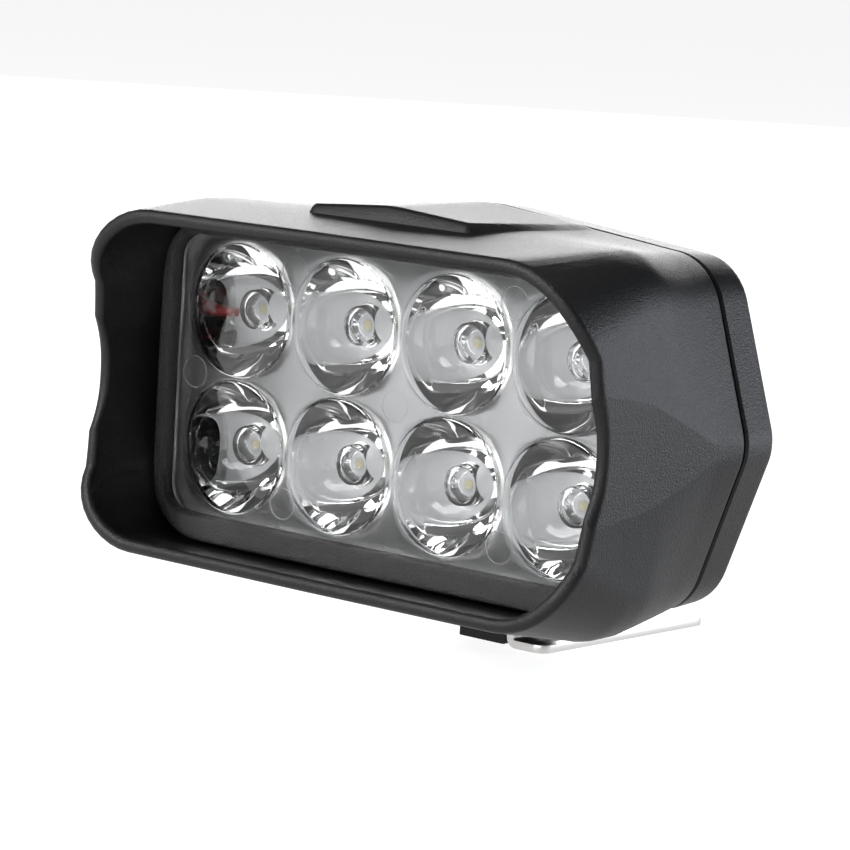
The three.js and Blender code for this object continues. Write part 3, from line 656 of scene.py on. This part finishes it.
LED_BACK = (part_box("led_1")[1].y - lens_zero[1]) / MM
PACKAGE_HALF, PATCH_HALF, DOME_RADIUS, DOME_BASE = 1.75, 0.85, 1.25, LED_BACK - 0.8
dome_turn = np.linspace(0, np.pi / 2, 12)
dome_profile = np.stack([DOME_RADIUS * np.sin(dome_turn), DOME_BASE - DOME_RADIUS * np.cos(dome_turn)], -1)
dome_profile = np.concatenate([dome_profile, [(0, DOME_BASE)]])
for index in range(8):
    cx, cz = (index % 4 - 1.5) * PITCH_X, (0.5 - index // 4) * PITCH_Z
    centre = (cx, 0, cz)
    package = joined("led_package", [slab("package", round_square(PACKAGE_HALF, 0.2), DOME_BASE + 0.05,
                                          LED_BACK, 0.06, centre=centre)])
    patch = joined("led_patch", [slab("patch", round_square(PATCH_HALF, 0.1), DOME_BASE + 0.01,
                                      DOME_BASE + 0.2, 0.02, centre=centre)])
    dome = joined(f"led_dome_{index + 1}", [turned("dome", dome_profile - np.array([0, 0.02]), centre)])
    package.name, patch.name = f"led_package_{index + 1}", f"led_phosphor_{index + 1}"
    for piece, paint, material_slot in ((package, ceramic, "board_white"), (patch, phosphor, "led_phosphor"),
                                        (dome, dome_clear, "led_phosphor")):
        crisp(piece).data.materials.append(paint)
        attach(piece, "lamp")
    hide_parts(f"led_{index + 1}")

# ---------------------------------------------------------------------------------------------------------
# Heat spreader: a cast aluminium plate with nine fins. Posts on the rear shell press its two side tabs on
# to stops in the front shell.
# ---------------------------------------------------------------------------------------------------------
finished("heat_spreader", mottled("cast_aluminium", (0.60, 0.61, 0.62), (0.46, 0.47, 0.48), 0.42, 0.1, 1400,
                                  0.00005, metallic=1.0))

# ---------------------------------------------------------------------------------------------------------
# Board screws: two zinc-plated steel screws with pan heads, driven through the LED board into the heat
# spreader.
# ---------------------------------------------------------------------------------------------------------
zinc_plate = mottled("zinc_plate", (0.62, 0.63, 0.65), (0.50, 0.51, 0.53), 0.28, 0.07, 2500, 0.000008,
                     metallic=1.0)
for number in (1, 2):
    finished(f"board_screw_{number}", zinc_plate)

# ---------------------------------------------------------------------------------------------------------
# Driver: a green glass-epoxy board behind the heat spreader. It carries a copper-wound choke, a sleeved
# capacitor and the moulded driver chip, all soldered.
# ---------------------------------------------------------------------------------------------------------
finished("driver_board", mottled("board_green", (0.02, 0.12, 0.05), (0.015, 0.09, 0.04), 0.35, 0.06, 700,
                                 0.00001))
finished("driver_choke", mottled("copper_winding", (0.55, 0.22, 0.09), (0.36, 0.12, 0.05), 0.32, 0.08, 1800,
                                 0.00012, metallic=1.0, stretch=(1, 0.1, 1)))
finished("driver_capacitor", mottled("capacitor_sleeve", (0.015, 0.02, 0.035), (0.01, 0.014, 0.025), 0.34,
                                     0.05, 800, 0.00001))
finished("driver_chip", mottled("chip_epoxy", (0.012, 0.012, 0.013), (0.02, 0.02, 0.02), 0.6, 0.08, 4000,
                                0.00001))

# ---------------------------------------------------------------------------------------------------------
# Leads: a red and a black silicone-covered wire, soldered from the driver board round the spreader's edge
# to the LED board.
# ---------------------------------------------------------------------------------------------------------
for lead, colour, tone, shade in (("lead_positive", "wire_red", (0.42, 0.02, 0.015), (0.33, 0.015, 0.012)),
                                  ("lead_negative", "wire_black", (0.012, 0.012, 0.012), (0.02, 0.02, 0.02))):
    finished(lead, mottled(colour, tone, shade, 0.4, 0.06, 600, 0.00001))

# ---------------------------------------------------------------------------------------------------------
# Shell seal: a grey silicone cord, laid in the groove between the two shells. The case screws squeeze it
# when they pull the shells together.
# ---------------------------------------------------------------------------------------------------------
finished("shell_seal", silicone)

# ---------------------------------------------------------------------------------------------------------
# Rear shell: the back half of the casing in the same grained ABS. Its rim tapers to a flat ribbed back with
# four counterbored screw holes, and two lugs below hold the bracket's ear between them.
# ---------------------------------------------------------------------------------------------------------
REAR_START, RIM_Y, BACK_Y, REAR_WALL, BACK_EDGE = 19.1, 26.0, 36.0, 2.2, 1.2
rear_along = [REAR_START, RIM_Y, BACK_Y]
casing_rear = mirrored([
    track(rear_along, [0] * 3, [28.7, 28.1, 25], [30] * 3, 0.5),
    track(rear_along, [39.9, 39.5, 31], [24.4, 24.0, 21.5], [9, 8.5, 6], 0.5),
    track(rear_along, [47.67, 47.2, 37.6], [0.5, 0.5, 0.3], [7.5, 7.3, 6], 0.5),
    track(rear_along, [47.67, 47.2, 37.6], [-2.1, -2.1, -1.9], [7.5, 7.3, 6], 0.5),
    track(rear_along, [39.5, 39.1, 30], [-25.2, -24.8, -21.5], [9, 8.5, 6], 0.5),
    track(rear_along, [0] * 3, [-28.5, -28.0, -23.4], [30] * 3, 0.5)])
GLAND_Z, GLAND_HOLE = -8.0, 4.3
back_turn = np.linspace(0, np.pi / 2, 6)[1:]
back_rim = [ring((BACK_Y - BACK_EDGE * (1 - np.sin(a))) * flat, moved_in(casing_rear, inset, inset))
            for a, inset in zip(back_turn, BACK_EDGE * (1 - np.cos(back_turn)))]
hub = np.array([0, 0, GLAND_Z])
toward = back_rim[-1][0] - hub
toward[:, 1] = 0
gland_ring = hub + GLAND_HOLE * toward / np.linalg.norm(toward, axis=1, keepdims=True)


def face_rows(rim, y, shares):
    """Rows of a flat face at y, at the given shares of the way from the rim's ring to the gland's hole."""
    rows = np.stack([rim * (1 - share) + gland_ring * share for share in shares])
    rows[..., 1] = y
    return rows


inner_rim = ring((BACK_Y - REAR_WALL) * flat, moved_in(casing_rear, REAR_WALL, 1.5))
rear_rows = np.concatenate([
    ring((REAR_START + 0.1) * flat, moved_in(casing_rear, 0.25, 0.2)),
    ring(rows_between(REAR_START + 0.5, BACK_Y - BACK_EDGE, 40), casing_rear), *back_rim,
    face_rows(back_rim[-1][0], BACK_Y, (0.25, 0.5, 0.75, 1)),
    face_rows(inner_rim[0], BACK_Y - REAR_WALL, (1, 0.75, 0.5, 0.25)), inner_rim,
    ring(rows_between(BACK_Y - REAR_WALL - 1, REAR_START, 14), moved_in(casing_rear, REAR_WALL, 1.5)),
    ring(REAR_START * flat, moved_in(casing_rear, 0.6, 0.5))])
rear_skin = grid_mesh("rear_skin", rear_rows, wrap_rows=True)

PIVOT_Y, PIVOT_Z, PIVOT_HOLE = 28.0, -30.0, 2.25
LEFT_LUG, RIGHT_LUG, LEFT_RADIUS, RIGHT_RADIUS, LUG_FRONT = (-4.6, 4.3), (6.1, 10.1), 6.2, 4.8, 23.6


def lug_outline(radius, first_angle, corner):
    """A lug seen from the side as (y, z): the given front corners, then an arc round the pivot."""
    turn = np.linspace(first_angle, 0, 28)
    arc = np.stack([PIVOT_Y + radius * np.cos(turn), PIVOT_Z + radius * np.sin(turn)], -1)
    return np.concatenate([corner, arc, [(PIVOT_Y + radius, -23.4)]])


left_side = lug_outline(LEFT_RADIUS, -np.pi / 2, [(LUG_FRONT, -25.4), (LUG_FRONT, PIVOT_Z - LEFT_RADIUS)])
right_side = lug_outline(RIGHT_RADIUS, -np.pi, [(PIVOT_Y - RIGHT_RADIUS, -25.4)])
left_lug = slab("left_lug", left_side, *LEFT_LUG, 0.5, "X")
right_lug = slab("right_lug", right_side, *RIGHT_LUG, 0.5, "X")
rib_outline = np.array([(-0.8, -15), (0.8, -15), (0.8, 15), (-0.8, 15)])
ribs = [slab("rib", rib_outline + np.array([x, 0]), BACK_Y - 1, BACK_Y + 1.5, 0.4) for x in (-15, -9, 9, 15)]
# The boss round the pivot stands only inside the casing, so it is cut to the casing's outer form, moved in.
form_rows = ring(rows_between(REAR_START + 0.6, BACK_Y - 0.6, 20), moved_in(casing_rear, 0.6, 0.5))
form_ends = [np.broadcast_to(row.mean(axis=0), (1, COLUMNS, 3)) for row in (form_rows[0], form_rows[-1])]
casing_form = grid_mesh("form", np.concatenate([form_ends[0], form_rows, form_ends[1]]))
pivot_boss = turned("pivot_boss", [(0, -12.4), (6.4, -12.4), (6.9, -11.9), (6.9, 7.7), (6.4, 8.2), (0, 8.2)],
                    (0, PIVOT_Y, PIVOT_Z), "X", 64)

SCREW_X, SCREW_Z, PILOT, COUNTERBORE, COUNTERBORE_DEPTH = 20.3, 18.9, 1.7, 2.9, 2.4
floor_y = BACK_Y - COUNTERBORE_DEPTH
screw_cut = [(0, REAR_START - 2), (PILOT, REAR_START - 2), (PILOT, floor_y), (COUNTERBORE, floor_y),
             (COUNTERBORE, BACK_Y - 0.2), (COUNTERBORE + 0.5, BACK_Y + 0.3), (COUNTERBORE + 0.5, BACK_Y + 2),
             (0, BACK_Y + 2)]
screw_places = [(sx * SCREW_X, sz * SCREW_Z) for sx in (1, -1) for sz in (1, -1)]
screw_cutters = [turned("cut", screw_cut, (x, 0, z)) for x, z in screw_places]
BOSS_START, BOSS_END, BOSS_RADIUS = REAR_START + 0.3, BACK_Y - 1, 3.4
boss_profile = [(0, BOSS_START), (BOSS_RADIUS, BOSS_START), (BOSS_RADIUS, BOSS_END), (0, BOSS_END)]
screw_bosses = [turned("boss", boss_profile, (x, 0, z)) for x, z in screw_places]
sixths = np.arange(6) * np.pi / 3 + np.pi / 6
hexagon = np.stack([np.cos(sixths), np.sin(sixths)], -1)
pivot_centre = (0, PIVOT_Y, PIVOT_Z)
slot_cutter = turned("cut", [(0, 4.3), (4.9, 4.3), (4.9, 6.1), (0, 6.1)], pivot_centre, "X", 64)
bore_profile = [(0, -10.8), (4.7, -10.8), (4.7, -4.6), (PIVOT_HOLE, -4.6), (PIVOT_HOLE, 12), (0, 12)]
bore_cutter = turned("cut", bore_profile, pivot_centre, "X", 64)
nut_cutter = slab("cut", hexagon * 4.3 + np.array([PIVOT_Y, PIVOT_Z]), 6.9, 12, 0.01, "X")


def carved(name, base, steps):
    """base after each (operation, tool) boolean in turn; the tools are then dropped. Faces square to Y are
    shaded flat."""
    for operation, tool in steps:
        cut = base.modifiers.new(operation.lower(), "BOOLEAN")
        cut.object, cut.operation, cut.solver = tool, operation, "MANIFOLD"
    view = bpy.context.evaluated_depsgraph_get()
    mesh = bpy.data.meshes.new_from_object(base.evaluated_get(view))
    for tool in [tool for _, tool in steps] + [base]:
        bpy.data.objects.remove(tool)
    normals = np.empty(len(mesh.polygons) * 3)
    mesh.polygons.foreach_get("normal", normals)
    mesh.polygons.foreach_set("use_smooth", np.abs(normals[1::3]) < 0.999)
    piece = bpy.data.objects.new(name, mesh)
    bpy.context.scene.collection.objects.link(piece)
    return crisp(piece)


inner_boss = carved("boss", joined("boss_1", [pivot_boss]), [("INTERSECT", joined("form", [casing_form]))])
rear_shell = carved("rear_shell_skin", joined("rear_body", [rear_skin]), [
    ("UNION", joined("lug_1", [left_lug])), ("UNION", joined("lug_2", [right_lug])), ("UNION", inner_boss),
    ("UNION", joined("bosses", screw_bosses)),
    ("UNION", joined("ribs", ribs)), ("DIFFERENCE", joined("cut_1", screw_cutters)),
    ("DIFFERENCE", joined("cut_2", [slot_cutter])), ("DIFFERENCE", joined("cut_3", [bore_cutter])),
    ("DIFFERENCE", joined("cut_4", [nut_cutter]))])
rear_shell.data.materials.clear()
rear_shell.data.materials.append(housing_black)
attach(rear_shell, "lamp")
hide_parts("rear_shell")

# ---------------------------------------------------------------------------------------------------------
# Cable gland: a soft black rubber grommet snapped into the back. Its tapered tail has flex grooves, and its
# bore is empty.
# ---------------------------------------------------------------------------------------------------------
tail_y = np.linspace(38.4, 41.6, 25)
GROOVE_DEPTH, GROOVE_PITCH = 0.35, 1.07
tail_radius = np.interp(tail_y, [38, 42], [4.6, 3.6])
tail_radius -= GROOVE_DEPTH * (0.5 - 0.5 * np.cos(2 * np.pi * (tail_y - 38.4) / GROOVE_PITCH))
gland_profile = np.array([(2.1, 32), (5.2, 32), (5.4, 32.3), (5.6, 33.5), (4.0, 33.5), (4.0, 36.3),
                          (5.8, 36.3), (6.0, 36.5), (6.0, 37.3), (5.7, 37.6), (4.6, 38),
                          *zip(tail_radius, tail_y), (3.5, 41.8), (3.3, 42), (2.3, 42), (2.1, 41.8)])
gland = crisp(joined("gland_rubber", [turned("gland", gland_profile, (0, 0, GLAND_Z), columns=64)]), 40)
gland.data.materials.append(mottled("gland_black", (0.012, 0.012, 0.012), (0.02, 0.02, 0.02), 0.6, 0.1,
                                    1500, 0.00002))
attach(gland, "lamp")
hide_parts("cable_gland")

# ---------------------------------------------------------------------------------------------------------
# Case screws: four zinc-plated pan heads with crossed recesses. They run from the back's counterbores into
# posts on the front shell.
# ---------------------------------------------------------------------------------------------------------
SCREW_SEAT, SCREW_TIP, SCREW_SHANK, SCREW_HEAD = BACK_Y - COUNTERBORE_DEPTH + 0.3, 9.5, 1.4, 2.6
head_top = SCREW_SEAT + 1.9
screw_profile = [(0, SCREW_TIP), (0.5, SCREW_TIP), (SCREW_SHANK, SCREW_TIP + 1.2), (SCREW_SHANK, SCREW_SEAT),
                 (SCREW_HEAD, SCREW_SEAT), (SCREW_HEAD, SCREW_SEAT + 0.8), (2.45, SCREW_SEAT + 1.25),
                 (2.1, SCREW_SEAT + 1.6), (1.6, SCREW_SEAT + 1.82), (1.0, head_top), (0, head_top)]
cross_arm = np.array([(-1.35, -0.28), (1.35, -0.28), (1.35, 0.28), (-1.35, 0.28)])
for number, (x, z) in enumerate(screw_places, 1):
    arms = [slab("arm", arm + np.array([x, z]), head_top - 0.9, head_top + 1, 0.01)
            for arm in (cross_arm, cross_arm[:, ::-1].copy())]
    screw = carved(f"case_screw_steel_{number}", joined("screw", [turned("screw", screw_profile, (x, 0, z))]),
                   [("DIFFERENCE", joined("arm_1", arms[:1])), ("DIFFERENCE", joined("arm_2", arms[1:]))])
    screw.data.materials.append(zinc_plate)
    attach(screw, "lamp")
    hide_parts(f"case_screw_{number}")

# ---------------------------------------------------------------------------------------------------------
# Pivot screw, washer and nut: the M4 socket screw that clamps the bracket's ear between the lugs. Its head
# is at the -X end, in the wide part of the bore, and the nut sits in a hexagonal pocket at the +X end.
# ---------------------------------------------------------------------------------------------------------
pivot_profile = [(0, -10), (3.2, -10), (3.5, -9.7), (3.5, -6),
                 (1.95, -6), (1.95, 9.8), (1.65, 10.1), (0, 10.1)]
key_cut = slab("key", hexagon * 1.7 + np.array([PIVOT_Y, PIVOT_Z]), -12, -7.8, 0.01, "X")
pivot_body = joined("pivot", [turned("pivot", pivot_profile, pivot_centre, "X", 64)])
pivot_screw = carved("pivot_screw_steel", pivot_body, [("DIFFERENCE", joined("key_cut", [key_cut]))])
washer_profile = [(2.25, -5.7), (4.2, -5.7), (4.3, -5.6), (4.3, -5.0), (4.2, -4.9), (2.25, -4.9)]
washer = crisp(joined("pivot_washer_steel", [turned("washer", washer_profile, pivot_centre, "X", 64)]))
nut_hole = turned("nut_hole", [(0, 5), (2.25, 5), (2.25, 12), (0, 12)], pivot_centre, "X", 48)
nut_body = slab("nut", hexagon * 3.95 + np.array([PIVOT_Y, PIVOT_Z]), 7.2, 10.0, 0.25, "X")
nut = carved("pivot_nut_steel", joined("nut_body", [nut_body]),
             [("DIFFERENCE", joined("nut_hole", [nut_hole]))])
for piece, node in ((pivot_screw, "pivot_screw"), (washer, "pivot_washer"), (nut, "pivot_nut")):
    piece.data.materials.append(zinc_plate)
    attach(piece, "lamp")
    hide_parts(node)

# ---------------------------------------------------------------------------------------------------------
# Bracket: one strip of 1.2 mm stainless steel, blanked, with the ear bent up through the slit. Its edges
# are tumbled round and its faces polished along their length.
# ---------------------------------------------------------------------------------------------------------
bracket_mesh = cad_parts["bracket"].data.copy()
work = bmesh.new()
work.from_mesh(bracket_mesh)
bmesh.ops.remove_doubles(work, verts=work.verts, dist=2e-6)
bmesh.ops.dissolve_limit(work, angle_limit=math.radians(0.5), verts=work.verts, edges=work.edges)
bmesh.ops.recalc_face_normals(work, faces=work.faces)
work.to_mesh(bracket_mesh)
work.free()
bracket = bpy.data.objects.new("bracket_steel", bracket_mesh)
bpy.context.scene.collection.objects.link(bracket)
bracket_mesh.polygons.foreach_set("use_smooth", np.ones(len(bracket_mesh.polygons), dtype=bool))
rounding = bracket.modifiers.new("tumbled_edges", "BEVEL")
rounding.width, rounding.segments, rounding.angle_limit = 0.00022, 3, math.radians(35)
rounding.harden_normals = True
bracket_mesh.materials.clear()
bracket_mesh.materials.append(mottled("polished_stainless", (0.66, 0.65, 0.64), (0.50, 0.49, 0.48), 0.3, 0.07,
                                      1600, 0.000006, metallic=1.0, stretch=(1, 0.04, 1)))
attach(bracket, "bracket")
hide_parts("bracket")
